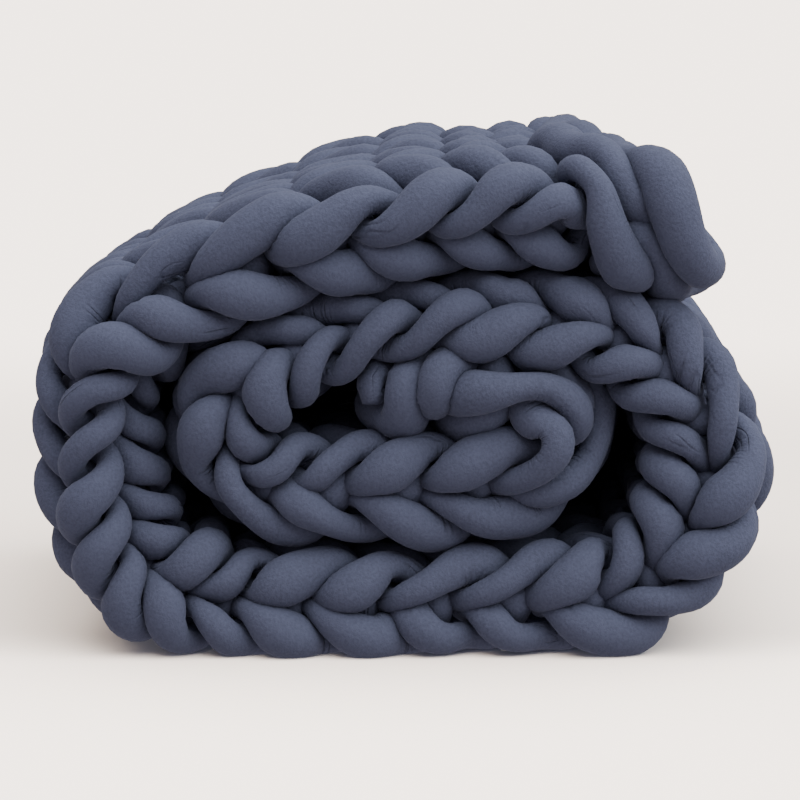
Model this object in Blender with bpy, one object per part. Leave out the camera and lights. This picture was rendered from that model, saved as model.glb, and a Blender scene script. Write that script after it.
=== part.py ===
"""A chunky hand-knitted weighted blanket, folded in half lengthwise, rolled up and laid down.

The blanket is one knitted cloth of thick tube yarn. It is folded once along its length, so that the
fold faces -Y and the two long edges face +Y, and the doubled cloth is then rolled from the cast-on
edge outwards. The roll rests on the flattened underside of its outermost turn. Its origin is on
the surface under the middle of the roll.
"""

import math
from collections import namedtuple

import bmesh
import bpy
import numpy as np

# Driving dimensions, in metres
FOLDED_WIDTH = 0.530  # from the fold at the front to the long edges at the back
LEAF_GAP = 0.003  # between the two leaves of the folded cloth
OUTER_LEAF_SHORT = 0.012  # the outer leaf's long edge stops this far before the inner leaf's
EDGE_ROUND = 0.010  # rounding of the long edges
NOSE_DEPTH = 0.90  # depth of the rounded fold, in half thicknesses
NOSE_SIDES = 8
ROW_DIP = 0.004  # how far each face sinks between two rows of stitches
STEPS_PER_ROW = 4
END_ROUND = 0.016  # length over which the two short edges round off
END_THIN = 0.62  # thickness left at the short edges
SMOOTH_PASSES = 6
MIDDLE_X = 0.0007  # shift that centres the roll on its origin

YARN_BLUE = (0.067, 0.088, 0.144, 1.0)  # slate blue cotton jersey, linear
YARN_ROUGHNESS = 0.9

# The doubled cloth's middle line, seen from the fold side, from the bound-off edge on top of the roll
# to the cast-on edge in its middle. Thickness is that of both leaves together; row counts the
# knitted rows from the bound-off edge; set_back is how far the fold lies behind the foremost turns.
Station = namedtuple("Station", "place x z thickness row set_back")
STATIONS = (
    Station("bound-off edge", 0.200, 0.274, 0.060, 0.00, 0.004),
    Station("drop", 0.183, 0.308, 0.074, 0.75, 0.002),
    Station("crest", 0.144, 0.328, 0.080, 1.60, 0.000),
    Station("top right", 0.097, 0.317, 0.080, 2.50, 0.000),
    Station("top", 0.041, 0.305, 0.080, 3.60, 0.000),
    Station("top left", -0.022, 0.293, 0.078, 4.70, 0.000),
    Station("shoulder", -0.082, 0.274, 0.082, 5.85, 0.002),
    Station("upper left", -0.137, 0.244, 0.088, 7.00, 0.004),
    Station("left shoulder", -0.180, 0.203, 0.096, 8.20, 0.006),
    Station("left", -0.210, 0.153, 0.100, 9.85, 0.006),
    Station("lower left", -0.202, 0.102, 0.096, 11.20, 0.004),
    Station("heel", -0.167, 0.060, 0.086, 13.00, 0.002),
    Station("bottom left", -0.113, 0.036, 0.078, 14.80, 0.000),
    Station("bottom", -0.050, 0.0315, 0.074, 16.25, 0.000),
    Station("bottom middle", 0.020, 0.0315, 0.074, 17.80, 0.000),
    Station("bottom right", 0.090, 0.037, 0.076, 19.20, 0.000),
    Station("toe", 0.152, 0.055, 0.082, 20.50, 0.002),
    Station("lower right", 0.194, 0.090, 0.090, 21.80, 0.004),
    Station("right", 0.216, 0.139, 0.090, 23.20, 0.006),
    Station("upper right", 0.202, 0.185, 0.082, 24.30, 0.008),
    Station("right shoulder", 0.167, 0.216, 0.062, 25.40, 0.010),
    Station("second run", 0.118, 0.231, 0.050, 26.50, 0.012),
    Station("second run middle", 0.055, 0.232, 0.048, 27.90, 0.014),
    Station("second run left", -0.004, 0.222, 0.054, 29.15, 0.014),
    Station("second run end", -0.053, 0.202, 0.068, 30.35, 0.012),
    Station("inner left top", -0.092, 0.176, 0.072, 31.70, 0.008),
    Station("inner left", -0.108, 0.146, 0.070, 32.80, 0.006),
    Station("inner left foot", -0.094, 0.118, 0.062, 33.70, 0.004),
    Station("inner bottom left", -0.055, 0.106, 0.060, 34.80, 0.002),
    Station("inner bottom", -0.001, 0.106, 0.062, 36.00, 0.002),
    Station("inner bottom right", 0.048, 0.107, 0.062, 37.20, 0.002),
    Station("inner right foot", 0.092, 0.118, 0.054, 38.30, 0.004),
    Station("inner right", 0.114, 0.146, 0.044, 39.40, 0.006),
    Station("inner right top", 0.099, 0.172, 0.040, 40.40, 0.008),
    Station("inner run", 0.066, 0.180, 0.040, 41.40, 0.010),
    Station("cast-on edge", 0.022, 0.174, 0.040, 42.50, 0.012),
)


def start_clean():
    """Removes every object of the open scene."""
    for thing in list(bpy.data.objects):
        bpy.data.objects.remove(thing, do_unlink=True)


def smooth_curve(points, samples=30):
    """Points along a Catmull-Rom curve through the given rows, which may have any number of columns."""
    padded = np.vstack([2 * points[0] - points[1], points, 2 * points[-1] - points[-2]])
    t = np.linspace(0.0, 1.0, samples, endpoint=False)[:, None]
    runs = []
    for a, b, c, d in zip(padded, padded[1:], padded[2:], padded[3:]):
        cubic = (3 * b - 3 * c + d - a) * t**3
        square = (2 * a - 5 * b + 4 * c - d) * t**2
        runs.append(0.5 * (2 * b + (c - a) * t + square + cubic))
    return np.vstack(runs + [points[-1:]])


def run_lengths(curve):
    """Distance along a curve of (x, z, ...) rows to each of its points."""
    steps = np.linalg.norm(np.diff(curve[:, :2], axis=0), axis=1)
    return np.concatenate([[0.0], np.cumsum(steps)])


def middle_line():
    """The doubled cloth's middle line as rows of x, z, thickness, row and set_back, a few for each knitted row."""
    table = np.array([station[1:] for station in STATIONS])
    curve = smooth_curve(table)
    along = run_lengths(curve)
    steps = round(STATIONS[-1].row * STEPS_PER_ROW)
    wanted = np.linspace(0.0, STATIONS[-1].row, steps + 1)
    at = np.interp(wanted, curve[:, 3], along)
    line = np.column_stack([np.interp(at, along, curve[:, k]) for k in range(curve.shape[1])])
    for _ in range(SMOOTH_PASSES):
        line[1:-1] = (line[:-2] + 2 * line[1:-1] + line[2:]) / 4
    return line


def end_factor(distance):
    """Share of the full thickness that is left this far from a short edge."""
    share = min(1.0, distance / END_ROUND)
    return END_THIN + (1 - END_THIN) * math.sqrt(1 - (1 - share) ** 2)


def folded_section(half, set_back):
    """Outline of the doubled cloth as (y, outward) points: two leaves joined by the rounded fold."""
    slot = LEAF_GAP / 2
    edge = min(EDGE_ROUND, (half - slot) / 2.5)
    back = FOLDED_WIDTH / 2
    outer_back = back - OUTER_LEAF_SHORT
    nose_y = set_back - FOLDED_WIDTH / 2 + NOSE_DEPTH * half
    outline = [(outer_back, half - edge), (outer_back - edge, half)]
    for side in range(NOSE_SIDES + 1):
        turn = math.pi * side / NOSE_SIDES
        outline.append((nose_y - NOSE_DEPTH * half * math.sin(turn), half * math.cos(turn)))
    outline += [(back - edge, -half), (back, edge - half), (back, -slot - edge), (back - edge, -slot)]
    outline += [(nose_y + slot, -slot), (nose_y, 0.0), (nose_y + slot, slot)]
    outline += [(outer_back - edge, slot), (outer_back, slot + edge)]
    return outline


def roll_rings(line):
    """One closed ring of points for each step of the middle line."""
    along = run_lengths(line)
    tangent = np.gradient(line[:, :2], axis=0)
    tangent /= np.linalg.norm(tangent, axis=1)[:, None]
    rings = []
    for (x, z, thickness, row, set_back), (tx, tz), s in zip(line, tangent, along):
        set_back = max(set_back, 0.0)
        half = thickness / 2 * end_factor(min(s, along[-1] - s) + END_ROUND / 8)
        half -= ROW_DIP * (1 - math.cos(2 * math.pi * row)) / 2
        ring = []
        for y, outward in folded_section(half, set_back):
            height = z - outward * tx
            ring.append((x + outward * tz + MIDDLE_X, y, max(height, 0.0)))
        rings.append(ring)
    return rings


def knit_material():
    """Filled cotton jersey tube yarn."""
    material = bpy.data.materials.new("jersey_yarn")
    material.use_nodes = True
    shader = material.node_tree.nodes["Principled BSDF"]
    shader.inputs["Base Color"].default_value = YARN_BLUE
    shader.inputs["Roughness"].default_value = YARN_ROUGHNESS
    shader.inputs["Metallic"].default_value = 0.0
    return material


def skin(rings):
    """A closed mesh over the rings, capped at both ends."""
    bm = bmesh.new()
    loops = [[bm.verts.new(point) for point in ring] for ring in rings]
    count = len(loops[0])
    for near, far in zip(loops, loops[1:]):
        for k in range(count):
            after = (k + 1) % count
            bm.faces.new((near[k], near[after], far[after], far[k]))
    caps = [bm.faces.new(loops[0][::-1]), bm.faces.new(loops[-1])]
    bmesh.ops.triangulate(bm, faces=caps)
    bmesh.ops.recalc_face_normals(bm, faces=bm.faces[:])
    bmesh.ops.triangulate(bm, faces=bm.faces[:], quad_method="SHORT_EDGE")
    mesh = bpy.data.meshes.new("blanket_roll")
    bm.to_mesh(mesh)
    bm.free()
    mesh.shade_smooth()
    return mesh


def make_blanket_roll():
    """The whole blanket, as the one solid of its folded and rolled form."""
    blanket = bpy.data.objects.new("blanket_roll", skin(roll_rings(middle_line())))
    blanket.data.materials.append(knit_material())
    bpy.context.scene.collection.objects.link(blanket)


start_clean()
make_blanket_roll()
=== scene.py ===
"""The looks of a chunky hand-knitted weighted blanket, folded in half lengthwise and rolled up.

The yarn is a tube of cotton jersey, stuffed with filling. Its middle line is laid through every stitch
of the knitted cloth, the cloth is folded and rolled, the stitches push each other apart, and the tube
then swells round its middle line until it about meets its neighbours. Where turns lie too close to
each other for that, their skins cut into each other.
"""

import math
from collections import namedtuple

import bpy
import numpy as np
from bpy.props import FloatProperty, FloatVectorProperty, IntProperty, PointerProperty
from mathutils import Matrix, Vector


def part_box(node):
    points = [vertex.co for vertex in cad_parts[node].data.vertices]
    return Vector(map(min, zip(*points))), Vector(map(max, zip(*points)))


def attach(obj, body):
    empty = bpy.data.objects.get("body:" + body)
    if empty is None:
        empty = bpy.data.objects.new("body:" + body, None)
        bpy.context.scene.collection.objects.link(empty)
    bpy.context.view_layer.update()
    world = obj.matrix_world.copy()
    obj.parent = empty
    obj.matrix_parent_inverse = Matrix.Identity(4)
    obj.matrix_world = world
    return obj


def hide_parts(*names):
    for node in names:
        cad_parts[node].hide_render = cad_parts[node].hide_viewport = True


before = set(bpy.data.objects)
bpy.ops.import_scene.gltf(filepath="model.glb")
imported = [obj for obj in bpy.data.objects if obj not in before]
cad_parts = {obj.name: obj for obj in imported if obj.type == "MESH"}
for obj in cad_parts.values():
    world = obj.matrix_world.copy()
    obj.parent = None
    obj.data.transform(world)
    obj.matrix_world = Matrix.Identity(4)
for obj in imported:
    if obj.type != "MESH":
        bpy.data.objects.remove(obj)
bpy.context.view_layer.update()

bl_info = {
    "name": "Rolled chunky knit blanket",
    "version": (1, 0, 0),
    "blender": (4, 5, 0),
    "location": "3D View > Sidebar > Blanket",
    "description": "Knits a rolled blanket of thick tube yarn stitch by stitch, and sets its stage",
    "category": "Object",
}

ROLL_NODE = "blanket_roll"
ROLL_LOW, ROLL_HIGH = (np.array(corner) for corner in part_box(ROLL_NODE))
MM = 0.001

# The doubled cloth's middle line, seen from the fold side, from the bound-off edge on top of the roll
# to the cast-on edge in its middle, in metres. Thickness is that of both leaves together, row counts
# the knitted rows from the bound-off edge, set_back is how far the fold lies behind the foremost turns,
# fold is the leg of the stitches, counted across the cloth, that lies on the fold, and droop is how
# much lower the cloth lies at the back.
Turn = namedtuple("Turn", "place x z thickness row set_back fold droop")
TURNS = (
    Turn("bound-off edge", 0.191, 0.297, 0.100, -0.90, 0.000, 1.50, 0.012),
    Turn("drop", 0.170, 0.303, 0.098, -0.40, 0.000, 1.40, 0.012),
    Turn("crest", 0.134, 0.310, 0.094, 0.50, 0.000, 1.15, 0.012),
    Turn("top right", 0.086, 0.309, 0.088, 1.50, 0.000, 1.15, 0.007),
    Turn("top", 0.034, 0.304, 0.084, 2.50, 0.000, 1.15, -0.001),
    Turn("top left", -0.022, 0.296, 0.084, 3.55, 0.000, 1.20, 0.000),
    Turn("shoulder", -0.084, 0.279, 0.086, 4.65, 0.002, 1.35, 0.008),
    Turn("upper left", -0.146, 0.251, 0.096, 5.75, 0.004, 1.60, 0.013),
    Turn("left shoulder", -0.203, 0.214, 0.102, 7.05, 0.006, 1.80, 0.004),
    Turn("left", -0.213, 0.156, 0.098, 8.75, 0.006, 2.00, 0.000),
    Turn("lower left", -0.203, 0.099, 0.098, 10.20, 0.004, 2.10, 0.000),
    Turn("heel", -0.174, 0.051, 0.092, 12.00, 0.000, 2.30, 0.000),
    Turn("bottom left", -0.118, 0.034, 0.080, 13.80, 0.000, 2.40, 0.000),
    Turn("bottom", -0.050, 0.0315, 0.074, 15.10, 0.000, 2.50, 0.000),
    Turn("bottom middle", 0.020, 0.0315, 0.074, 16.50, 0.000, 2.50, 0.000),
    Turn("bottom right", 0.092, 0.033, 0.076, 17.85, 0.000, 2.50, 0.000),
    Turn("toe", 0.161, 0.045, 0.084, 19.25, 0.000, 2.40, 0.000),
    Turn("lower right", 0.202, 0.082, 0.094, 20.75, 0.004, 2.30, 0.000),
    Turn("right", 0.219, 0.134, 0.092, 22.00, 0.006, 2.40, 0.000),
    Turn("upper right", 0.198, 0.182, 0.078, 23.05, 0.008, 2.50, 0.000),
    Turn("right shoulder", 0.162, 0.214, 0.062, 24.40, 0.010, 2.60, 0.000),
    Turn("second run", 0.116, 0.231, 0.050, 25.50, 0.012, 2.70, 0.000),
    Turn("second run middle", 0.055, 0.232, 0.048, 26.90, 0.014, 2.80, 0.000),
    Turn("second run left", -0.004, 0.229, 0.048, 28.15, 0.014, 2.80, 0.000),
    Turn("second run end", -0.062, 0.214, 0.054, 29.35, 0.012, 2.70, 0.000),
    Turn("inner left top", -0.106, 0.184, 0.060, 30.70, 0.008, 2.60, 0.000),
    Turn("inner left", -0.116, 0.146, 0.066, 31.80, 0.006, 2.50, 0.000),
    Turn("inner left foot", -0.096, 0.120, 0.062, 32.50, 0.004, 2.50, 0.000),
    Turn("inner bottom left", -0.048, 0.116, 0.072, 33.60, 0.002, 2.50, 0.000),
    Turn("inner bottom", -0.002, 0.117, 0.074, 34.55, 0.002, 2.50, 0.000),
    Turn("inner bottom right", 0.045, 0.118, 0.074, 35.50, 0.002, 2.50, 0.000),
    Turn("inner right foot", 0.090, 0.124, 0.062, 36.30, 0.004, 2.80, 0.000),
    Turn("inner right", 0.122, 0.152, 0.056, 36.80, 0.006, 3.00, 0.000),
    Turn("inner right top", 0.102, 0.186, 0.050, 37.40, 0.008, 3.00, 0.000),
    Turn("inner run", 0.058, 0.194, 0.048, 38.10, 0.010, 3.00, 0.000),
    Turn("cast-on edge", 0.008, 0.188, 0.048, 39.10, 0.012, 3.00, 0.000),
)
ROWS_ALONG_LINE = 801
LINE_SMOOTHING = 60  # passes
PITCH_PAST_ENDS = 0.043  # length of a row where the yarn runs on past the ends of the middle line

# The two leaves and the fold between them, as shares of both leaves' thickness together
LEAF_MIDDLE = 0.21  # from the middle line to the middle of a leaf
FOLD_DEPTH = 0.30
BACK_MARGIN = 0.029  # from the back of the roll to the last leg's middle line, in metres

# The knitted cloth, counted in rows along it and in legs of the V-shaped stitches across it
COLUMNS = 12
ROWS = 38
FIRST_LEG = -9.5  # long edge of the outer leaf
LAST_LEG = 14.5  # long edge of the inner leaf
EDGE_TURN = 0.35  # legs by which the yarn swings out past a long edge on its way to the next row
EDGE_BACK = 0.18  # rows by which it falls back toward the cast-on edge there
EDGE_FRONT = -0.3  # how far in front it lies, on the scale told of below
END_SKEW = 0.75  # rows by which the outer leaf stops short of the inner one at the bound-off edge
SKEW_ROWS = 3.0  # rows over which that dies out
SKEW_MOST = 1.2  # share of it that is reached past the first row
SKEW_FROM_LEG, SKEW_LEGS = 1.8, 2.0  # leg where it starts, and legs over which it grows
SKEW_OTHER_WAY = 0.3  # share by which the inner leaf is skewed the other way
BOUND_OFF_PAST = 0.40  # how far past the first row the bound-off chain lies, in rows
CAST_ON_PAST = 0.80  # how far past the last row the cast-on chain lies

# The inner coil, which spreads toward the back and so closes the gaps round it
INNER_FROM_ROW, INNER_ROWS = 27.5, 3.0  # row where it starts to spread, and rows over which that grows
INNER_MIDDLE_X, INNER_MIDDLE_Z = 0.002, 0.150
INNER_SPREAD, INNER_LIFT = 0.52, 0.16  # how much wider and taller it lies at the back

# One stitch. Depths, tilts and lifts are shares of both leaves' thickness. Front tells how far the yarn
# lies in front of other yarn, from -1 where it is behind to 1.
BEADS_PER_STITCH = 24
STITCH_HEIGHT = 0.88  # half its height, in rows
FIRST_ROW_HEIGHT = 1.00  # that of the row next to the bound-off chain
STITCH_SLANT = 0.50  # how far its legs lean, in legs
STITCH_CROOK = 0.09  # how far they bend on the way, in legs
STITCH_DEPTH = 0.150  # how far it weaves in and out
STITCH_TILT = 0.045  # how much deeper its head lies, and how much higher its feet
STITCH_AHEAD = 0.20  # how far it lies ahead of its row, toward the bound-off edge, in rows

# How much hand-knitted stitches and links differ from each other, in rows and legs, and as shares
UNEVEN = 0.02
DEPTH_UNEVEN, TILT_UNEVEN = 0.3 * UNEVEN, 0.25 * UNEVEN
REACH_UNEVEN, WIDTH_UNEVEN = 2 * UNEVEN, 2.5 * UNEVEN

# One link of the chains that close the two short edges
LINK_REACH = 1.60  # half its length, in legs
LAST_REACH = 0.52  # that of the last link, as a share of the others'
LINK_WIDTH = 0.50  # half its width, in rows
LINK_MIDDLE, LINK_FLARE = 1.15, 0.20  # its middle's share of that, and how much more its head has
LINK_DEPTH = 0.115  # how far it weaves in and out
LINK_TILT = 0.06  # how much deeper its head lies
LINK_LIFT = 0.05  # how far it stands out from the cloth
LINK_FRONT, LINK_FRONT_SWING = 0.7, 0.5  # its mean front, and how far that swings
LINK_SLANT = 0.45  # how far it leans out over the edge at the fold, in rows
FLAT_SLANT = 0.20  # the share of that away from the fold
LINKS_AT_FOLD = 2.5  # legs to either side of the fold's middle where links lean out
FOLD_LEG = 1.5
RUN_LEGS = (0.5, 1.0, 1.5)  # from a link's start to the beads that run on behind the chain, in legs
RUN_BEHIND = -0.20  # their lift

# The yarn's girth as a share of its radius, and how much more it is in front of other yarn and less behind
GIRTH, GIRTH_IN_FRONT = 0.84, 0.24

# How the beads of the yarn settle in each round
GIVE = 0.50  # share of an overlap by which two beads move apart
CROWDING = 0.25  # how much less a bead moves for each bead that it touches
STIFFNESS = 0.22  # share of a bend that straightens
TENSION = 0.25  # share of a stretch that pulls back
HOLD = 0.06  # share of the way back to where the bead was knitted
SEARCH_EVERY = 3  # rounds between two searches for neighbours
SEARCH_REACH = 2.3  # how far away neighbours are searched for, in settled radii of the thickest yarn
OWN_BEADS = 3  # beads to either side that are no neighbours
LYING_ON = 0.78  # least height of the yarn's middle line over the floor, in radii
TINY = 1e-6  # keeps divisions safe, in metres

# The tube's rings
SIDES = 20
CURVE_SAMPLES = 6  # points of the yarn's smooth curve from one bead to the next
FOLD_RINGS, EDGE_RINGS, OUTER_RINGS, INNER_RINGS = 4.5 * MM, 6.5 * MM, 8 * MM, 12 * MM  # apart
LEGS_AT_FOLD, LEGS_AT_EDGE, OUTER_ROWS = 3.5, 3.0, 26  # how far the first three of these reach
FIRST_SIDE = (0.3, 0.5, 0.8)  # any direction that the yarn doesn't start in
TRIANGLES_PER_PIECE = 190000  # at most

# How the tube swells
ROOM_SEARCH = 3.0  # how far away a ring looks for other yarn, in radii
OWN_YARN = 0.96  # stretch of itself that a ring doesn't meet, in radii
PAIRS_AT_ONCE = 400000  # of a ring and a bead, to save memory
LEAST_SHARE = 0.3  # least part of half the way to thicker yarn that a ring keeps
NO_LIMIT = 1.0  # room of a skin that meets nothing, in metres
FACING = 1e-5  # metres toward other yarn from which a direction counts as facing it
DOWNWARD = 1e-3  # least drop of a unit direction that counts as facing the floor
SKIN_GAP = 0.4 * MM  # between two skins
THINNEST = 1.5 * MM  # least distance from the middle of the yarn to its skin
FILL_ROUNDS = 4  # in which the free skin swells to make up for the pressed one
FILL_GIVE = 0.35  # power of wanted over present area by which it swells in each
SKIN_BLUR = 2  # passes that soften the skin
PRESSED_IN = 0.3 * MM  # how far that may take it past its room
END_THINNEST = 0.05  # share of the skin's distance that is left at the yarn's two ends

# Where the jersey is tucked under other yarn and where a bend gathers it
GATHER_BEND = 0.45  # bend that wholly gathers its inside, as the yarn's radius over the bend's
TUCK_FRONT, TUCK_FADE = 0.5, 1.1  # front where the tuck starts, and how much lower it is complete
PRESSED_SHARE = 0.35  # share of its free skin that a wholly pressed skin has lost
PRESSED_TUCK = 0.35  # how much a pressed skin counts as tucked

SEED = 7  # of the differences between stitches, and one more for those between links

# Looks
PATCH_EDGE = 0.12  # how far past its threshold a patch is complete
DARKER, LIGHTER = 0.82, 1.18  # shares of the jersey's colour between which it varies
CREASE_PAINTED_SHADE = 0.35  # how far a crease's colour is taken to the darker one, as painted shade in the crease
PAPER_PAINTED_SHADE = 0.70  # share of the paper's colour under and behind the blanket, a painted shade

# The stage
FILL_TINT = "FFF2F6"
SOFTBOX_TOWARD = (0.50, -0.16, 1.0)
PAPER_LAMP_TOWARD, PAPER_LAMP_TINT = (0.1, -0.1, 1.0), "FFE2C6"
LAMP_SPREAD = 100  # degrees of the sky that a softbox fills
LENS = 172.0  # in millimetres
AIM_ABOVE_MIDDLE = 1.7 * MM  # how far above the middle of the roll the camera aims


# ---------------------------------------------------------------- folding and rolling the cloth


def smooth_curve(points, samples=30):
    """Points along a Catmull-Rom curve through the given rows, which may have any number of columns."""
    padded = np.vstack([2 * points[0] - points[1], points, 2 * points[-1] - points[-2]])
    t = np.linspace(0.0, 1.0, samples, endpoint=False)[:, None]
    runs = []
    for a, b, c, d in zip(padded, padded[1:], padded[2:], padded[3:]):
        cubic = (3 * b - 3 * c + d - a) * t**3
        square = (2 * a - 5 * b + 4 * c - d) * t**2
        runs.append(0.5 * (2 * b + (c - a) * t + square + cubic))
    return np.vstack(runs + [points[-1:]])


def run_lengths(curve):
    """Distance along a curve to each of its points."""
    steps = np.linalg.norm(np.diff(curve, axis=0), axis=1)
    return np.concatenate([[0.0], np.cumsum(steps)])


def unit(vectors):
    """The vectors at length one."""
    return vectors / np.linalg.norm(vectors, axis=1)[:, None]


def columns_at(wanted, along, table):
    """The table's columns at the wanted distances."""
    return np.column_stack([np.interp(wanted, along, table[:, k]) for k in range(table.shape[1])])


class RolledCloth:
    """Where a place on the flat cloth comes to lie once the cloth is folded and rolled."""

    def __init__(self):
        curve = smooth_curve(np.array([turn[1:] for turn in TURNS]))
        along = run_lengths(curve[:, :2])
        self.rows = np.linspace(TURNS[0].row, TURNS[-1].row, ROWS_ALONG_LINE)
        line = columns_at(np.interp(self.rows, curve[:, 3], along), along, curve)
        for _ in range(LINE_SMOOTHING):
            line[1:-1] = (line[:-2] + 2 * line[1:-1] + line[2:]) / 4
        self.line = line
        self.tangent = unit(np.gradient(line[:, :2], axis=0))

    def at_row(self, row):
        """The middle line's values and direction at rows that may lie past its ends."""
        inside = np.clip(row, self.rows[0], self.rows[-1])
        x, z, thickness, _, set_back, fold, droop = (
            np.interp(inside, self.rows, self.line[:, k]) for k in range(self.line.shape[1])
        )
        tx, tz = (np.interp(inside, self.rows, self.tangent[:, k]) for k in range(2))
        size = np.hypot(tx, tz)
        tx, tz = tx / size, tz / size
        past = (row - inside) * PITCH_PAST_ENDS
        return x + past * tx, z + past * tz, thickness, set_back, fold, droop, tx, tz

    def thickness(self, row):
        """Thickness of both leaves together at the rows."""
        return np.interp(row, self.rows, self.line[:, 2])

    def place(self, leg, row, lift):
        """World points of the cloth at a leg across it and a row along it, lifted off its mid-surface."""
        near_end = np.clip(1.0 - row / SKEW_ROWS, 0.0, SKEW_MOST)
        side = np.clip((SKEW_FROM_LEG - leg) / SKEW_LEGS, -SKEW_OTHER_WAY, 1.0)
        row = row + END_SKEW * near_end * side
        x, z, thickness, set_back, fold, droop, tx, tz = self.at_row(row)
        half = LEAF_MIDDLE * thickness
        front = ROLL_LOW[1] + set_back
        back = ROLL_HIGH[1]
        nose = front + half + FOLD_DEPTH * thickness
        quarter = math.pi / 2 * half
        room = back - BACK_MARGIN - nose + quarter
        leg_pitch = np.where(leg < fold, room / (fold - FIRST_LEG), room / (LAST_LEG - fold))
        across = (leg - fold) * leg_pitch
        turn = np.clip(across / half, -math.pi / 2, math.pi / 2)
        flat = np.maximum(np.abs(across) - quarter, 0.0)
        y = nose - (half + lift) * np.cos(turn) + flat
        outward = -(half + lift) * np.sin(turn)
        deep = np.clip((y - front) / (back - front), 0.0, 1.0)
        inner = np.clip((row - INNER_FROM_ROW) / INNER_ROWS, 0.0, 1.0)
        x = x + INNER_SPREAD * inner * deep * (x - INNER_MIDDLE_X)
        z = z + INNER_LIFT * inner * deep * (z - INNER_MIDDLE_Z) - droop * deep
        return np.stack([x + outward * tz, y, z - outward * tx], axis=-1)


# ---------------------------------------------------------------- laying the yarn through the stitches


def stitch_angles():
    """Angles of one turn of the yarn, from one foot of a stitch over its head to the other."""
    return (np.arange(BEADS_PER_STITCH) + 0.5) / BEADS_PER_STITCH * 2 * math.pi - math.pi


def edge_chain(row, start, step, rng):
    """The yarn's leg, row, lift and front along a chain that closes an edge, one V link for each stitch."""
    t = stitch_angles()
    links = []
    for number in range(COLUMNS):
        middle = start + step * (2 * number + 1)
        last = number == COLUMNS - 1
        reach = LINK_REACH * (LAST_REACH if last else 1.0) * (1 + REACH_UNEVEN * rng.standard_normal())
        width = LINK_WIDTH * (1 + WIDTH_UNEVEN * rng.standard_normal())
        slant = LINK_SLANT * (1.0 if abs(middle - FOLD_LEG) < LINKS_AT_FOLD else FLAT_SLANT)
        leg = middle + step * reach * np.cos(t)
        place = row + width * np.sin(t) * (LINK_MIDDLE + LINK_FLARE * np.cos(t)) - slant * np.cos(t)
        lift = LINK_LIFT - LINK_DEPTH * np.cos(2 * t) - LINK_TILT * np.cos(t)
        front = LINK_FRONT - LINK_FRONT_SWING * np.cos(2 * t)
        links.append(np.stack([leg, place, lift, front], axis=1))
        if not last:
            run = [(middle + step * (legs - reach), row, RUN_BEHIND, -1.0) for legs in RUN_LEGS]
            links.append(np.array(run))
    return np.vstack(links)


def knitted_row(row, rng):
    """The yarn's leg, row, lift and front through one row of stitches."""
    t = stitch_angles()
    middle = (FIRST_LEG + 1 + 2 * np.arange(COLUMNS))[:, None]
    half_height = FIRST_ROW_HEIGHT if row == 1 else STITCH_HEIGHT
    height = half_height + UNEVEN * rng.standard_normal(COLUMNS)[:, None]
    slant = STITCH_SLANT + UNEVEN * rng.standard_normal(COLUMNS)[:, None]
    depth = STITCH_DEPTH + DEPTH_UNEVEN * rng.standard_normal(COLUMNS)[:, None]
    tilt = STITCH_TILT + TILT_UNEVEN * rng.standard_normal(COLUMNS)[:, None]
    shift = UNEVEN * rng.standard_normal(COLUMNS)[:, None]
    leg = middle + t / math.pi + slant * np.sin(2 * t) + STITCH_CROOK * np.sin(4 * t)
    place = row - STITCH_AHEAD + shift - height * np.cos(t)
    lift = -depth * np.cos(2 * t) - tilt * np.cos(t)
    front = np.broadcast_to(-np.cos(2 * t), lift.shape)
    return np.stack([leg.ravel(), place.ravel(), lift.ravel(), front.ravel()], axis=1)


def knit(cloth):
    """Beads along the yarn of the whole blanket, and the leg, row, lift and front of each."""
    rng = np.random.default_rng(SEED)
    chain_rng = np.random.default_rng(SEED + 1)
    courses = [edge_chain(ROWS + CAST_ON_PAST, LAST_LEG, -1.0, chain_rng)]
    for row in range(ROWS, 0, -1):
        backward = (ROWS - row) % 2 == 1
        course = knitted_row(row, rng)
        courses.append(course[::-1] if backward else course)
        if row > 1:
            edge = FIRST_LEG - EDGE_TURN if backward else LAST_LEG + EDGE_TURN
            courses.append(np.array([[edge, row + EDGE_BACK, 0.0, EDGE_FRONT]]))
    courses.append(edge_chain(-BOUND_OFF_PAST, FIRST_LEG, 1.0, chain_rng))
    flat = np.vstack(courses)
    leg, row, lift = flat[:, 0], flat[:, 1], flat[:, 2]
    return cloth.place(leg, row, lift * cloth.thickness(row)), flat


def close_pairs(firsts, seconds, reach):
    """Index pairs of a first and a second point closer together than reach, sorted by the first."""
    low = np.minimum(firsts.min(axis=0), seconds.min(axis=0)) - reach
    first_cells = np.floor((firsts - low) / reach).astype(np.int64) + 1
    second_cells = np.floor((seconds - low) / reach).astype(np.int64) + 1
    size = np.maximum(first_cells.max(axis=0), second_cells.max(axis=0)) + 2
    weight = np.array([size[1] * size[2], size[2], 1])
    first_keys, second_keys = first_cells @ weight, second_cells @ weight
    order = np.argsort(second_keys, kind="stable")
    ranked = second_keys[order]
    found = []
    for step in [(i, j, k) for i in (-1, 0, 1) for j in (-1, 0, 1) for k in (-1, 0, 1)]:
        target = first_keys + np.array(step) @ weight
        start = np.searchsorted(ranked, target, "left")
        count = np.searchsorted(ranked, target, "right") - start
        first = np.repeat(np.arange(len(firsts)), count)
        within = np.arange(count.sum()) - np.repeat(np.cumsum(count) - count, count)
        second = order[np.repeat(start, count) + within]
        apart = firsts[first] - seconds[second]
        keep = np.einsum("ij,ij->i", apart, apart) < reach * reach
        found.append(np.stack([first[keep], second[keep]]))
    pairs = np.concatenate(found, axis=1)
    return pairs[:, np.argsort(pairs[0], kind="stable")]


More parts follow.
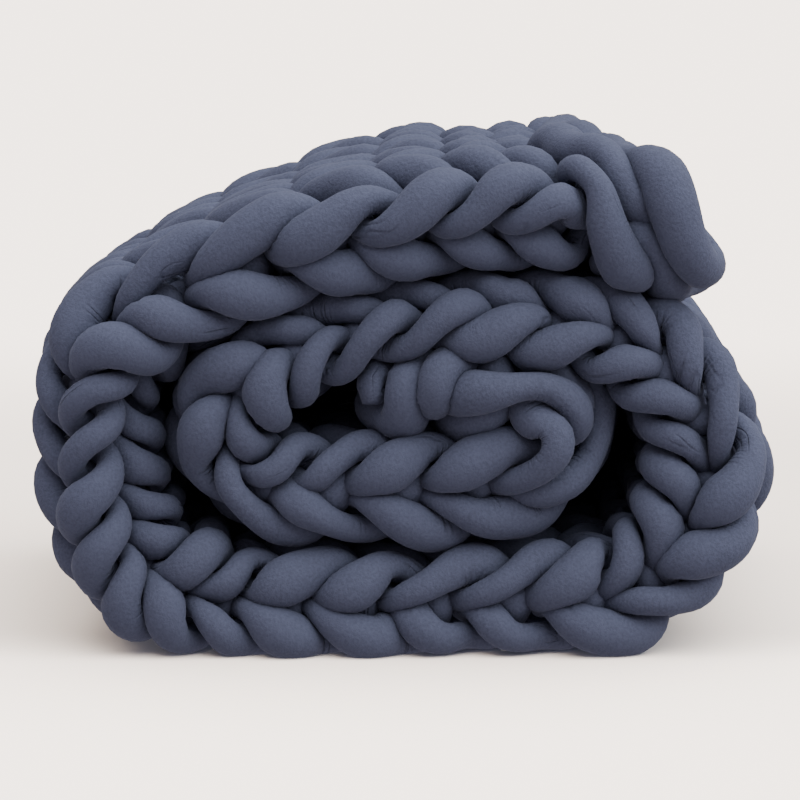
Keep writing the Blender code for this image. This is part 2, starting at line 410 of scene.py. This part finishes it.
def settle(points, girth, rounds, closeness, floor):
    """Pushes the beads of the yarn apart for so many rounds, roughly keeping its length and course."""
    home = points.copy()
    rest = np.linalg.norm(np.diff(points, axis=0), axis=1)
    count = len(points)
    for step in range(rounds):
        if step % SEARCH_EVERY == 0:
            first, second = close_pairs(points, points, SEARCH_REACH * closeness * girth.max())
            apart_on_yarn = second - first > OWN_BEADS
            first, second = first[apart_on_yarn], second[apart_on_yarn]
            wanted = closeness * (girth[first] + girth[second])
        apart = points[first] - points[second]
        size = np.linalg.norm(apart, axis=1)
        push = GIVE * np.clip(wanted - size, 0.0, None) / np.maximum(size, TINY)
        move = apart * push[:, None]
        total = np.zeros_like(points)
        for k in range(3):
            total[:, k] = np.bincount(first, move[:, k], count) - np.bincount(second, move[:, k], count)
        touching = (push > 0).astype(float)
        touches = np.bincount(first, touching, count) + np.bincount(second, touching, count)
        points = points + total / (1 + CROWDING * touches)[:, None]
        bend = np.zeros_like(points)
        bend[1:-1] = (points[:-2] + points[2:]) / 2 - points[1:-1]
        points += STIFFNESS * bend
        stretch = np.diff(points, axis=0)
        length = np.linalg.norm(stretch, axis=1)
        pull = TENSION * stretch * ((length - rest) / np.maximum(length, TINY))[:, None]
        points[:-1] += pull
        points[1:] -= pull
        points += HOLD * (home - points)
        points[:, 2] = np.maximum(points[:, 2], floor)
    return points


# ---------------------------------------------------------------- swelling the tube


def ring_places(points, flat):
    """Places of the rings along the yarn, closest together on the fold, and each one's distance along it."""
    curve = smooth_curve(np.column_stack([points, flat[:, :2]]), CURVE_SAMPLES)
    along = run_lengths(curve[:, :3])
    leg, row = curve[:, 3], curve[:, 4]
    at_fold = np.abs(leg - FOLD_LEG) < LEGS_AT_FOLD
    at_edge = (leg < FIRST_LEG + LEGS_AT_EDGE) | (leg > LAST_LEG - LEGS_AT_EDGE) | (row < 0)
    outer = (leg < FOLD_LEG) & (row < OUTER_ROWS)
    spacing = np.select([at_fold, at_edge, outer], [FOLD_RINGS, EDGE_RINGS, OUTER_RINGS], INNER_RINGS)
    density = 1.0 / spacing
    total = np.concatenate([[0.0], np.cumsum(np.diff(along) * (density[:-1] + density[1:]) / 2)])
    at = np.interp(np.linspace(0, total[-1], int(total[-1]) + 1), total, along)
    return columns_at(at, along, curve[:, :3]), at


def carried_frames(points):
    """Tangents and two cross directions carried along a line without twisting."""
    tangent = unit(np.gradient(points, axis=0))
    side = np.zeros_like(points)
    start = np.cross(tangent[0], FIRST_SIDE)
    side[0] = start / np.linalg.norm(start)
    for k in range(1, len(points)):
        carried = side[k - 1] - tangent[k] * (side[k - 1] @ tangent[k])
        side[k] = carried / math.sqrt(carried @ carried)
    return tangent, side, np.cross(tangent, side)


class Tube:
    """Rings along the yarn: their places, frames, girths and the directions round each."""

    def __init__(self, beads, bead_at, girth, flat):
        self.points, self.at = ring_places(beads, flat)
        self.tangent, self.side, self.up = carried_frames(self.points)
        self.girth = np.interp(self.at, bead_at, girth)
        self.front = np.interp(self.at, bead_at, flat[:, 3])
        angle = 2 * math.pi * np.arange(SIDES) / SIDES
        self.cos, self.sin = np.cos(angle), np.sin(angle)

    def directions(self):
        """Unit vectors from each ring's middle to its skin."""
        return self.side[:, None, :] * self.cos[:, None] + self.up[:, None, :] * self.sin[:, None]


def without_dimples(room):
    """The room with its dimples of one or two rings filled, so that a turn just brushed leaves no pit."""
    for wider in (np.maximum, np.minimum):
        before = np.vstack([room[:1], room[:-1]])
        after = np.vstack([room[1:], room[-1:]])
        room = wider(room, wider(before, after))
    return room


def room_round(tube, beads, bead_at, girth, radius):
    """How far each ring's skin can swell in each direction before it meets a neighbour or the floor."""
    first, second = close_pairs(tube.points, beads, ROOM_SEARCH * radius)
    own = np.abs(bead_at[second] - tube.at[first]) < OWN_YARN * radius
    first, second = first[~own], second[~own]
    room = np.full((len(tube.points), SIDES), NO_LIMIT)
    bounds = np.searchsorted(first, np.arange(len(tube.points) + 1))
    ring = 0
    while ring < len(tube.points):
        last = int(np.searchsorted(bounds, bounds[ring] + PAIRS_AT_ONCE, "right")) - 1
        last = min(len(tube.points), max(last, ring + 1))
        batch = slice(bounds[ring], bounds[last])
        here, there = first[batch], second[batch]
        if len(here):
            toward = beads[there] - tube.points[here]
            square = np.einsum("ij,ij->i", toward, toward)
            sideways = np.einsum("ij,ij->i", toward, tube.side[here])
            upwards = np.einsum("ij,ij->i", toward, tube.up[here])
            facing = sideways[:, None] * tube.cos + upwards[:, None] * tube.sin
            share = square + tube.girth[here] ** 2 - girth[there] ** 2
            share = np.maximum(share, LEAST_SHARE * square)[:, None]
            reach = np.where(facing > FACING, share / (2 * np.maximum(facing, FACING)), NO_LIMIT)
            present = np.unique(here)
            room[present] = np.minimum.reduceat(reach, np.searchsorted(here, present), axis=0)
        ring = last
    room = without_dimples(room) - SKIN_GAP / 2
    down = -tube.directions()[:, :, 2]
    floor = np.where(down > DOWNWARD, tube.points[:, 2:3] / np.maximum(down, DOWNWARD), NO_LIMIT)
    return np.maximum(np.minimum(room, floor), THINNEST)


def blurred(field, passes):
    """The field smoothed along the yarn and round it."""
    for _ in range(passes):
        field = (np.roll(field, 1, axis=1) + 2 * field + np.roll(field, -1, axis=1)) / 4
        middle = (field[:-2] + 2 * field[1:-1] + field[2:]) / 4
        field = np.vstack([field[:1], middle, field[-1:]])
    return field


def fill_out(room, girth, plump):
    """Skin distances: flat where the yarn is pressed, and rounder where it is free to make up for that."""
    wanted = math.pi * girth**2
    free = girth.copy()
    for _ in range(FILL_ROUNDS):
        skin = np.minimum(room, free[:, None])
        area = math.pi * np.mean(skin * skin, axis=1)
        free = np.clip(free * (wanted / area) ** FILL_GIVE, girth, plump * girth)
        free[1:-1] = (free[:-2] + 2 * free[1:-1] + free[2:]) / 4
    skin = np.minimum(room, free[:, None])
    return np.minimum(blurred(skin, SKIN_BLUR), room + PRESSED_IN), free


def close_ends(skin, at, radius):
    """Rounds off the yarn's two ends."""
    from_end = np.minimum(at, at[-1] - at) / radius
    share = np.clip(from_end, 0.0, 1.0)
    return skin * np.maximum(np.sqrt(1 - (1 - share) ** 2), END_THINNEST)[:, None]


# ---------------------------------------------------------------- the mesh


def surface_marks(tube, skin, free):
    """How far the yarn is tucked under others, and how far its inside is gathered in a bend."""
    turning = np.gradient(tube.tangent, axis=0) / np.gradient(tube.at)[:, None]
    inward = np.einsum("ijk,ik->ij", tube.directions(), turning)
    gather = blurred(np.clip(inward * skin / GATHER_BEND, 0.0, 1.0), 1)
    tuck = np.clip((TUCK_FRONT - tube.front) / TUCK_FADE, 0.0, 1.0)[:, None]
    pressed = np.clip((1.0 - skin / free[:, None]) / PRESSED_SHARE, 0.0, 1.0)
    return np.clip(tuck + PRESSED_TUCK * blurred(pressed, 1), 0.0, 1.0), gather


def tube_faces(count):
    """Corners of a closed tube's faces and their number in each; its last two vertices close its ends."""
    turn = np.arange(SIDES)
    after = (turn + 1) % SIDES
    near = np.arange(count - 1)[:, None] * SIDES
    far = near + SIDES
    quads = np.stack([near + turn, near + after, far + after, far + turn], axis=-1)
    last_ring = (count - 1) * SIDES
    start_cap = np.stack([np.full(SIDES, count * SIDES), after, turn], axis=-1)
    end_cap = np.stack([np.full(SIDES, count * SIDES + 1), last_ring + turn, last_ring + after], axis=-1)
    corners = np.concatenate([quads.ravel(), start_cap.ravel(), end_cap.ravel()])
    return corners, np.repeat([4, 3], [(count - 1) * SIDES, 2 * SIDES])


def tube_uvs(along):
    """The UV point of each of those corners: its distance along the yarn and its turn round it."""
    turn = np.arange(SIDES)
    corner_along = np.stack([along[:-1], along[:-1], along[1:], along[1:]], axis=-1)[:, None, :]
    corner_turn = np.stack([turn, turn + 1, turn + 1, turn], axis=-1)[None] / SIDES
    quad_uv = np.stack(np.broadcast_arrays(corner_along, corner_turn), axis=-1).reshape(-1, 2)
    cap_uv = np.zeros((3 * 2 * SIDES, 2))
    return np.vstack([quad_uv, cap_uv])


def tube_piece(name, tube, skin, marks, first, last):
    """A closed tube over the rings from first to last, with the marks as attributes of its surface."""
    rings = slice(first, last + 1)
    middle = tube.points[rings]
    verts = (middle[:, None, :] + tube.directions()[rings] * skin[rings, :, None]).reshape(-1, 3)
    verts = np.vstack([verts, middle[:1], middle[-1:]])
    corners, counts = tube_faces(len(middle))
    mesh = bpy.data.meshes.new(name)
    mesh.vertices.add(len(verts))
    mesh.vertices.foreach_set("co", verts.ravel())
    mesh.loops.add(len(corners))
    mesh.loops.foreach_set("vertex_index", corners)
    mesh.polygons.add(len(counts))
    mesh.polygons.foreach_set("loop_start", np.cumsum(counts) - counts)
    mesh.polygons.foreach_set("loop_total", counts)
    mesh.update(calc_edges=True)
    mesh.polygons.foreach_set("use_smooth", counts == 4)
    for mark_name, values in marks.items():
        flat = np.concatenate([values[rings].ravel(), np.zeros(2)])
        attribute = mesh.attributes.new(mark_name, "FLOAT", "POINT")
        attribute.data.foreach_set("value", flat.astype(np.float32))
    mesh.uv_layers.new(name="yarn").data.foreach_set("uv", tube_uvs(tube.at[rings]).ravel())
    piece = bpy.data.objects.new(name, mesh)
    bpy.context.scene.collection.objects.link(piece)
    return piece


# ---------------------------------------------------------------- materials


def linear(hex_colour):
    """Linear RGBA of an sRGB hex value."""
    channels = [int(hex_colour[k : k + 2], 16) / 255 for k in (0, 2, 4)]
    return tuple(c / 12.92 if c <= 0.04045 else ((c + 0.055) / 1.055) ** 2.4 for c in channels) + (1.0,)


def add_node(material, kind, settings=None, links=None):
    """Adds a node, sets its properties and inputs by name, and links its inputs to given outputs."""
    node = material.node_tree.nodes.new(kind)
    for key, value in (settings or {}).items():
        if isinstance(key, str) and hasattr(node, key):
            setattr(node, key, value)
        else:
            node.inputs[key].default_value = value
    for key, output in (links or {}).items():
        material.node_tree.links.new(output, node.inputs[key])
    return node


def math_node(material, operation, first, second=0.0):
    """Adds a Math node, whose two values are outputs or numbers, and gives its result."""
    values = {0: first, 1: second}
    numbers = {k: v for k, v in values.items() if isinstance(v, (int, float))}
    outputs = {k: v for k, v in values.items() if k not in numbers}
    node = add_node(material, "ShaderNodeMath", {"operation": operation, **numbers}, outputs)
    return node.outputs[0]


def blank_material(name):
    """A material with its shader alone."""
    material = bpy.data.materials.new(name)
    material.use_nodes = True
    return material, material.node_tree.nodes["Principled BSDF"]


def yarn_space(material, length, features):
    """A seamless space along the yarn, in units of the length, and round it, with that many features."""
    uv = add_node(material, "ShaderNodeUVMap", {"uv_map": "yarn"}).outputs[0]
    split = add_node(material, "ShaderNodeSeparateXYZ", links={0: uv})
    along = math_node(material, "DIVIDE", split.outputs[0], length)
    angle = math_node(material, "MULTIPLY", split.outputs[1], 2 * math.pi)
    size = features / (2 * math.pi)
    cos = math_node(material, "MULTIPLY", math_node(material, "COSINE", angle), size)
    sin = math_node(material, "MULTIPLY", math_node(material, "SINE", angle), size)
    return add_node(material, "ShaderNodeCombineXYZ", links={0: along, 1: cos, 2: sin}).outputs[0]


def noise(material, space, size=1.0, detail=2.0, roughness=0.5):
    """Smooth noise of about 0 to 1, whose features are of the given size in the space's own unit."""
    settings = {"Scale": 1.0 / size, "Detail": detail, "Roughness": roughness}
    return add_node(material, "ShaderNodeTexNoise", settings, {"Vector": space}).outputs[0]


def ramp(material, value, low, high, to_low=0.0, to_high=1.0, smooth=False):
    """The value, taken from between low and high to between to_low and to_high."""
    settings = {"interpolation_type": "SMOOTHSTEP" if smooth else "LINEAR"}
    settings |= {"From Min": low, "From Max": high, "To Min": to_low, "To Max": to_high}
    return add_node(material, "ShaderNodeMapRange", settings, {"Value": value}).outputs[0]


def creases(material, space, width):
    """Thin creases where noise in the given space crosses its middle value."""
    level = noise(material, space, detail=1.0)
    off = math_node(material, "ABSOLUTE", math_node(material, "SUBTRACT", level, 0.5))
    return ramp(material, off, 0.0, width, 1.0, 0.0, smooth=True)


def patches(material, length, threshold, share):
    """The share, kept in soft patches of about this length, which get rarer as the threshold rises."""
    level = noise(material, yarn_space(material, length, features=3.0), detail=0.0)
    kept = ramp(material, level, threshold, threshold + PATCH_EDGE, smooth=True)
    return math_node(material, "MULTIPLY", kept, share)


def mark(material, name):
    """One of the yarn's surface marks."""
    return add_node(material, "ShaderNodeAttribute", {"attribute_name": name}).outputs["Fac"]


def bump(material, height, depth, below=None):
    """Adds relief of the given depth in metres over the relief below it."""
    links = {"Height": height} if below is None else {"Height": height, "Normal": below}
    return add_node(material, "ShaderNodeBump", {"Strength": 1.0, "Distance": depth}, links).outputs[0]


def mixed(material, share, first, second):
    """Mixes two colours, given as outputs or values."""
    node = add_node(material, "ShaderNodeMix", {"data_type": "RGBA"})
    for socket, value in ((node.inputs[6], first), (node.inputs[7], second)):
        if isinstance(value, tuple):
            socket.default_value = value
        else:
            material.node_tree.links.new(value, socket)
    material.node_tree.links.new(share, node.inputs[0])
    return node.outputs[2]


def shade(colour, share):
    """A darker or lighter RGBA of the colour."""
    return (*(share * channel for channel in colour), 1.0)


def cotton_jersey(look):
    """Single-knit cotton jersey, piece-dyed slate blue and sewn into a tube over its filling.

    The knit scatters light evenly, so it is matt, with a faint sheen from its surface fibres. The
    filling shows as soft lumps. The jersey drags into long creases where the yarn is pulled under its
    neighbours, and gathers into short ones on the inside of a bend; both kinds of crease are also painted
    darker, as painted shade. Its loops are about 1 mm wide and are drawn at twice that, as fine as they
    still show.
    """
    material, shader = blank_material("cotton_jersey")
    place = add_node(material, "ShaderNodeTexCoord").outputs["Object"]
    drag = creases(material, yarn_space(material, 35 * MM, features=6.0), width=0.050)
    tucks = patches(material, 40 * MM, threshold=0.60, share=mark(material, "tuck"))
    drag = math_node(material, "MULTIPLY", drag, tucks)
    gather = creases(material, yarn_space(material, 7 * MM, features=1.5), width=0.100)
    bends = patches(material, 20 * MM, threshold=0.44, share=mark(material, "gather"))
    gather = math_node(material, "MULTIPLY", gather, bends)
    lumps = noise(material, yarn_space(material, 24 * MM, features=4.5), detail=1.5)
    grain = noise(material, place, size=2.1 * MM, detail=2.5, roughness=0.65)
    grain = ramp(material, grain, low=0.34, high=0.66)
    relief = bump(material, lumps, look.lump_depth)
    relief = bump(material, math_node(material, "MULTIPLY", drag, -1.0), look.crease_depth, relief)
    relief = bump(material, math_node(material, "MULTIPLY", gather, -1.0), look.gather_depth, relief)
    relief = bump(material, grain, look.grain_depth, relief)
    material.node_tree.links.new(relief, shader.inputs["Normal"])
    base, darker, lighter = (shade(look.jersey_colour, share) for share in (1.0, DARKER, LIGHTER))
    uneven = noise(material, yarn_space(material, 120 * MM, features=2.0))
    dye = mixed(material, uneven, darker, base)
    colour = mixed(material, grain, dye, lighter)
    # Painted shade: the colour of both kinds of crease is taken toward the darker one
    painted_crease_shade = math_node(material, "MAXIMUM", drag, gather)
    colour = mixed(material, math_node(material, "MULTIPLY", painted_crease_shade, CREASE_PAINTED_SHADE), colour, darker)
    material.node_tree.links.new(colour, shader.inputs["Base Color"])
    rough = ramp(material, grain, low=0.0, high=1.0, to_low=0.84, to_high=0.96)
    material.node_tree.links.new(rough, shader.inputs["Roughness"])
    shader.inputs["Specular IOR Level"].default_value = 0.05
    shader.inputs["Sheen Weight"].default_value = look.fuzz
    shader.inputs["Sheen Roughness"].default_value = 0.35
    shader.inputs["Sheen Tint"].default_value = linear("AEB9D0")
    return material


def backdrop_paper(stage):
    """Uncoated background paper, rolled and matt, with a painted shade that makes it a little darker under
    and behind the blanket.

    Its fibres are drawn about 1.5 mm long.
    """
    material, shader = blank_material("backdrop_paper")
    place = add_node(material, "ShaderNodeTexCoord").outputs["Object"]
    depth = add_node(material, "ShaderNodeSeparateXYZ", links={0: place}).outputs[1]
    far = ramp(material, depth, low=0.75, high=1.9, smooth=True)
    near = ramp(material, depth, low=-0.14, high=-0.28, smooth=True)
    painted_shade_colour, light = shade(stage.paper_colour, PAPER_PAINTED_SHADE), shade(stage.paper_colour, 1.0)
    # Painted shade: the paper's colour is darker under and behind the blanket, and full in front and far
    # behind
    colour = mixed(material, math_node(material, "MAXIMUM", far, near), painted_shade_colour, light)
    material.node_tree.links.new(colour, shader.inputs["Base Color"])
    fibre = noise(material, place, size=1.5 * MM, detail=3.0)
    material.node_tree.links.new(bump(material, fibre, depth=0.05 * MM), shader.inputs["Normal"])
    rough = ramp(material, fibre, low=0.0, high=1.0, to_low=0.85, to_high=0.95)
    material.node_tree.links.new(rough, shader.inputs["Roughness"])
    shader.inputs["Specular IOR Level"].default_value = 0.1
    return material


# ---------------------------------------------------------------- settings, operators and panel


class BlanketSettings(bpy.types.PropertyGroup):
    """Sizes and colours of the knitted blanket."""

    yarn_radius: FloatProperty(
        name="Yarn radius",
        description="Half the thickness of the stuffed tube yarn",
        default=16 * MM,
        min=8 * MM,
        max=30 * MM,
        unit="LENGTH",
    )
    closeness: FloatProperty(
        name="Closeness",
        description="How near the yarn's turns settle, as a share of their thickness",
        default=0.80,
        min=0.4,
        max=1.0,
        subtype="FACTOR",
    )
    rounds: IntProperty(
        name="Settling rounds",
        description="How often the stitches push each other apart",
        default=60,
        min=0,
        max=200,
    )
    plump: FloatProperty(
        name="Plumpness",
        description="How much thicker the yarn gets where it is free, to make up for where it is pressed",
        default=1.15,
        min=1.0,
        max=1.5,
    )
    jersey_colour: FloatVectorProperty(
        name="Jersey colour",
        description="Colour of the cotton jersey",
        default=linear("494E60")[:3],
        min=0.0,
        max=1.0,
        subtype="COLOR",
    )
    fuzz: FloatProperty(
        name="Fuzz",
        description="Strength of the soft sheen of the jersey's surface fibres",
        default=0.09,
        min=0.0,
        max=1.0,
        subtype="FACTOR",
    )
    crease_depth: FloatProperty(
        name="Crease depth",
        description="Depth of the long creases where the yarn is pulled under its neighbours",
        default=1.0 * MM,
        min=0.0,
        max=4 * MM,
        unit="LENGTH",
    )
    gather_depth: FloatProperty(
        name="Gather depth",
        description="Depth of the short creases on the inside of a bend",
        default=2.2 * MM,
        min=0.0,
        max=6 * MM,
        unit="LENGTH",
    )
    lump_depth: FloatProperty(
        name="Lump depth",
        description="Unevenness of the filling as it shows through the jersey",
        default=1.5 * MM,
        min=0.0,
        max=6 * MM,
        unit="LENGTH",
    )
    grain_depth: FloatProperty(
        name="Grain depth",
        description="Depth of the jersey's own fine knit",
        default=0.24 * MM,
        min=0.0,
        max=2 * MM,
        unit="LENGTH",
    )


class StageSettings(bpy.types.PropertyGroup):
    """The floor, the lights and the camera."""

    floor_size: FloatProperty(
        name="Floor size",
        description="Length of each side of the paper floor",
        default=60.0,
        min=4.0,
        max=200.0,
        unit="LENGTH",
    )
    paper_colour: FloatVectorProperty(
        name="Paper colour",
        description="Colour of the paper floor",
        default=linear("EAEDEF")[:3],
        min=0.0,
        max=1.0,
        subtype="COLOR",
    )
    softbox_strength: FloatProperty(
        name="Softbox strength",
        description="Light of the large overhead softbox",
        default=5.4,
        min=0.0,
        max=50.0,
    )
    fill_strength: FloatProperty(
        name="Fill strength",
        description="Light that comes evenly from all sides",
        default=0.72,
        min=0.0,
        max=10.0,
    )
    paper_light: FloatProperty(
        name="Paper light",
        description="Light of the lamp that brightens the paper alone",
        default=10.7,
        min=0.0,
        max=50.0,
    )
    camera_distance: FloatProperty(
        name="Camera distance",
        description="From the camera to the front of the roll",
        default=2.6,
        min=1.0,
        max=10.0,
        unit="LENGTH",
    )
    camera_height: FloatProperty(
        name="Camera height",
        description="From the floor to the camera",
        default=0.51,
        min=0.0,
        max=5.0,
        unit="LENGTH",
    )


def add_lamp(name, strength, toward, tint="FFFFFF"):
    """Adds a far softbox that fills much of the sky round the given direction."""
    light = bpy.data.lights.new(name, "SUN")
    light.energy = strength
    light.color = linear(tint)[:3]
    light.angle = math.radians(LAMP_SPREAD)
    lamp = bpy.data.objects.new(name, light)
    lamp.rotation_euler = Vector(toward).to_track_quat("Z", "Y").to_euler()
    bpy.context.scene.collection.objects.link(lamp)
    return lamp


class BLANKET_OT_knit(bpy.types.Operator):
    """Knits, folds and rolls the blanket, as a few pieces of one long yarn"""

    bl_idname = "blanket.knit"
    bl_label = "Knit the blanket"

    def execute(self, context):
        look = context.scene.blanket
        radius = look.yarn_radius
        beads, flat = knit(RolledCloth())
        girth = radius * (GIRTH + GIRTH_IN_FRONT * flat[:, 3])
        beads = settle(beads, girth, look.rounds, look.closeness, LYING_ON * radius)
        bead_at = run_lengths(beads)
        tube = Tube(beads, bead_at, girth, flat)
        room = room_round(tube, beads, bead_at, girth, radius)
        skin, free = fill_out(room, tube.girth, look.plump)
        skin = close_ends(skin, tube.at, radius)
        tuck, gather = surface_marks(tube, skin, free)
        marks = {"tuck": np.broadcast_to(tuck, skin.shape), "gather": gather}
        jersey = cotton_jersey(look)
        pieces = math.ceil(len(skin) * 2 * SIDES / TRIANGLES_PER_PIECE)
        cuts = np.linspace(0, len(skin) - 1, pieces + 1).astype(int)
        for number, (first, last) in enumerate(zip(cuts, cuts[1:]), start=1):
            piece = tube_piece(f"knitted_rows_{number}", tube, skin, marks, first, last)
            piece.data.materials.append(jersey)
            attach(piece, "root")
            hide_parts(ROLL_NODE)
        return {"FINISHED"}


class BLANKET_OT_stage(bpy.types.Operator):
    """Lays the paper floor and sets the lights and the camera"""

    bl_idname = "blanket.stage"
    bl_label = "Set the stage"

    def execute(self, context):
        scene, stage = context.scene, context.scene.blanket_stage
        bpy.ops.object.select_all(action="DESELECT")
        bpy.ops.mesh.primitive_plane_add(size=stage.floor_size)
        floor = context.object
        floor.name = "paper_floor"
        floor.data.materials.append(backdrop_paper(stage))
        world = bpy.data.worlds.new("studio")
        world.use_nodes = True
        background = world.node_tree.nodes["Background"]
        background.inputs["Color"].default_value = linear(FILL_TINT)
        background.inputs["Strength"].default_value = stage.fill_strength
        scene.world = world
        # The paper throws no light back, so that the undersides and gaps of the yarn stay dark
        floor.visible_diffuse = False
        add_lamp("overhead_softbox", stage.softbox_strength, SOFTBOX_TOWARD)
        paper_lamp = add_lamp("paper_lamp", stage.paper_light, PAPER_LAMP_TOWARD, PAPER_LAMP_TINT)
        paper_only = bpy.data.collections.new("paper_only")
        paper_only.objects.link(floor)
        paper_lamp.light_linking.receiver_collection = paper_only
        camera = bpy.data.cameras.new("camera")
        camera.lens = LENS
        rig = bpy.data.objects.new("camera", camera)
        front = ROLL_LOW[1]
        target = Vector((0.0, front, (ROLL_LOW[2] + ROLL_HIGH[2]) / 2 + AIM_ABOVE_MIDDLE))
        rig.location = (0.0, front - stage.camera_distance, stage.camera_height)
        rig.rotation_euler = (target - rig.location).to_track_quat("-Z", "Y").to_euler()
        scene.collection.objects.link(rig)
        scene.camera = rig
        return {"FINISHED"}


class BLANKET_PT_panel(bpy.types.Panel):
    """Lists the blanket's and the stage's settings and their operators."""

    bl_idname = "BLANKET_PT_panel"
    bl_label = "Rolled knit blanket"
    bl_space_type = "VIEW_3D"
    bl_region_type = "UI"
    bl_category = "Blanket"

    def draw(self, context):
        for settings, operator in (
            (context.scene.blanket, BLANKET_OT_knit),
            (context.scene.blanket_stage, BLANKET_OT_stage),
        ):
            box = self.layout.box()
            for name in settings.__annotations__:
                box.prop(settings, name)
            box.operator(operator.bl_idname)


CLASSES = (BlanketSettings, StageSettings, BLANKET_OT_knit, BLANKET_OT_stage, BLANKET_PT_panel)


def register():
    """Adds the settings, operators and panel to Blender."""
    for cls in CLASSES:
        bpy.utils.register_class(cls)
    bpy.types.Scene.blanket = PointerProperty(type=BlanketSettings)
    bpy.types.Scene.blanket_stage = PointerProperty(type=StageSettings)


def unregister():
    """Takes them out again."""
    del bpy.types.Scene.blanket_stage
    del bpy.types.Scene.blanket
    for cls in reversed(CLASSES):
        bpy.utils.unregister_class(cls)


def main():
    """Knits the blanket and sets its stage."""
    register()
    bpy.ops.blanket.knit()
    bpy.ops.blanket.stage()


if __name__ == "__main__":
    main()
